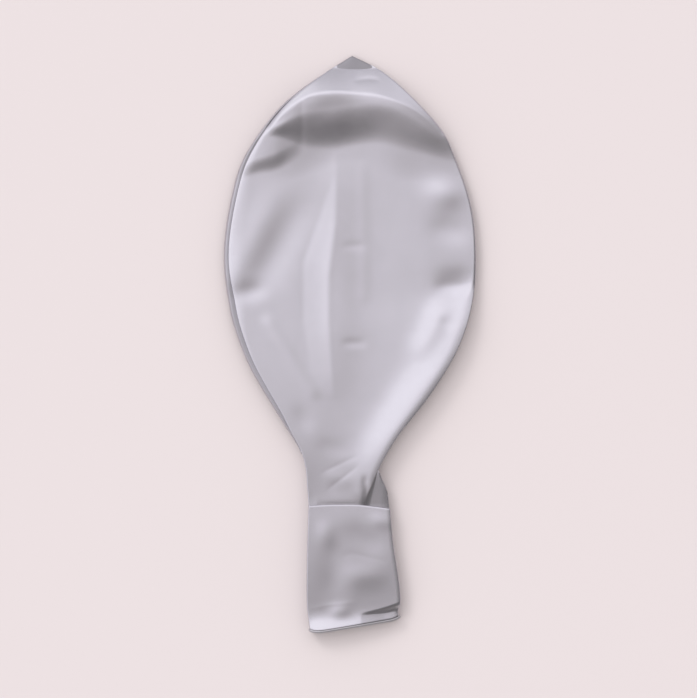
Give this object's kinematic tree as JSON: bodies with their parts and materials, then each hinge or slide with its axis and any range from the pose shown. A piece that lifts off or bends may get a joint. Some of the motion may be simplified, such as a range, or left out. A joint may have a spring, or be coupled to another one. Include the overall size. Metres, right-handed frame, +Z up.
{
  "type": "giant round latex balloon, not inflated",
  "caption": "Pear-shaped latex envelope lying flat with a little air in it, with a folded cuff, a neck that folds over it and a rolled open mouth.",
  "frame": {"origin": "on the surface that the balloon lies on, under the middle of its length and width", "axes": "+X across it to the right as the picture shows it, +Y along it from the mouth to the crown, +Z up"},
  "size_m": [0.1664, 0.3807, 0.0131],
  "materials": {
    "pearl_latex": "satin pearl, dipped",
    "thick_latex": "satin, thicker and darker where rolled or run together"
  },
  "bodies": {
    "envelope": {"body_upper_film": "pearl_latex", "body_lower_film": "pearl_latex", "throat_upper_film": "pearl_latex", "throat_lower_film": "pearl_latex", "left_edge_fold": "pearl_latex", "right_edge_fold": "pearl_latex", "throat_pleat": "pearl_latex", "crown_tip": "thick_latex"},
    "neck": {"neck_upper_film": "pearl_latex", "neck_lower_film": "pearl_latex", "neck_left_fold": "pearl_latex", "neck_right_fold": "pearl_latex", "cuff_fold": "pearl_latex", "mouth_bead": "thick_latex"}
  },
  "joints": [
    {"name": "neck_fold", "type": "hinge", "parent": "envelope", "child": "neck", "pos_m": [0, -0.10515, 0.0125], "axis": [-1, 0, 0], "range_deg": [0, 150]}
  ]
}
